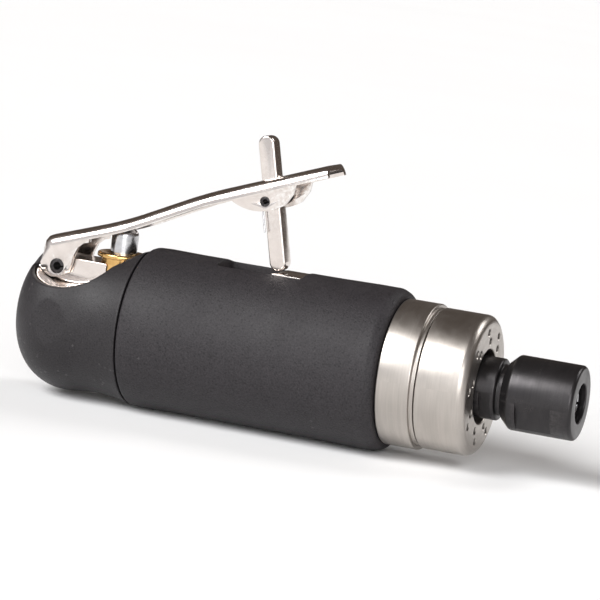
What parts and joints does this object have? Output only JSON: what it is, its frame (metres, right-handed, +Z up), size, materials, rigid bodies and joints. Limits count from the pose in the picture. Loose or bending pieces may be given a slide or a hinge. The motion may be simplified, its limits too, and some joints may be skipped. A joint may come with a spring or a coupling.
{
  "type": "straight air die grinder",
  "caption": "Straight air die grinder with lock-off throttle lever, rubber grip sleeve, vane motor, front exhaust cap, spindle, collet and nut.",
  "frame": {"origin": "middle of the underside: below the tool axis, halfway between the inlet face and the nut face, level with the bottom of the grip", "axes": "+X along the tool axis towards the collet nut, +Z up through the throttle lever, +Y to the left seen from behind"},
  "size_m": [0.153, 0.0428, 0.0767],
  "materials": {
    "black_skin": "fine-grained moulded black skin",
    "rubber_grip": "matte black rubber with a fine grain",
    "bright_nickel": "polished nickel plate",
    "satin_steel": "satin stainless steel with a turned grain",
    "black_oxide": "satin black oxide on steel",
    "brass_metal": "turned brass",
    "bare_steel": "ground bare steel",
    "iron_plate": "machined cast iron",
    "seal_rubber": "moulded nitrile rubber",
    "grey_felt": "pressed felt",
    "vane_composite": "resin-bonded fabric"
  },
  "bodies": {
    "housing": {"rear_cover": "black_skin", "throttle_housing": "bright_nickel", "inlet_bushing": "bare_steel", "inlet_screen": "brass_metal", "valve_bushing": "brass_metal", "stem_seal": "seal_rubber", "valve_seat": "seal_rubber", "valve_spring": "bare_steel", "grip_sleeve": "rubber_grip", "rest_plate": "bright_nickel", "motor_housing": "satin_steel", "rear_end_plate": "iron_plate", "motor_cylinder": "iron_plate", "front_end_plate": "iron_plate", "alignment_dowel": "bare_steel", "clamp_spacer": "bare_steel", "rear_bearing_outer": "bare_steel", "front_bearing_outer": "bare_steel", "exhaust_cap": "satin_steel", "silencer_ring": "grey_felt", "lever_pin": "black_oxide"},
    "throttle": {"throttle_lever": "bright_nickel", "lock_pin": "black_oxide"},
    "lock": {"lock_lever": "bright_nickel", "lock_spring": "bare_steel"},
    "stem": {"valve_stem": "bare_steel", "valve_head": "seal_rubber"},
    "spindle_group": {"spindle": "black_oxide", "rotor": "bare_steel", "vane_1": "vane_composite", "vane_2": "vane_composite", "vane_3": "vane_composite", "vane_4": "vane_composite", "rear_bearing_inner": "bare_steel", "rear_bearing_balls": "brass_metal", "front_bearing_inner": "bare_steel", "front_bearing_balls": "brass_metal"},
    "collet_body": {"collet": "bare_steel"},
    "nut": {"collet_nut": "black_oxide"}
  },
  "joints": [
    {"name": "throttle_press", "type": "hinge", "parent": "housing", "child": "throttle", "pos_m": [-0.0677, 0, 0.03434], "axis": [0, 1, 0], "range_deg": [0, 6.5], "stiffness_Nm_per_rad": 1.5, "springref_deg": -6.88},
    {"name": "stem_travel", "type": "slide", "parent": "housing", "child": "stem", "axis": [0, 0, -1], "range_m": [0, 0.0024], "deforming": ["valve_spring"]},
    {"name": "lock_swing", "type": "hinge", "parent": "throttle", "child": "lock", "pos_m": [-0.0117, 0, 0.06014], "axis": [0, 1, 0], "range_deg": [0, 78.05]},
    {"name": "spindle_spin", "type": "hinge", "parent": "housing", "child": "spindle_group", "pos_m": [-0.0765, 0, 0.02137], "axis": [1, 0, 0], "continuous": true},
    {"name": "collet_release", "type": "slide", "parent": "spindle_group", "child": "collet_body", "axis": [1, 0, 0], "range_m": [0, 0.002]},
    {"name": "nut_turn", "type": "hinge", "parent": "collet_body", "child": "nut", "pos_m": [-0.0765, 0, 0.02137], "axis": [1, 0, 0], "range_deg": [0, 720]}
  ],
  "couplings": [
    {"joint": "stem_travel", "follows": "throttle_press", "m_per_rad": 0.0206},
    {"joint": "lock_swing", "follows": "throttle_press", "ratio": 12},
    {"joint": "nut_turn", "follows": "collet_release", "rad_per_m": 6283.2}
  ]
}
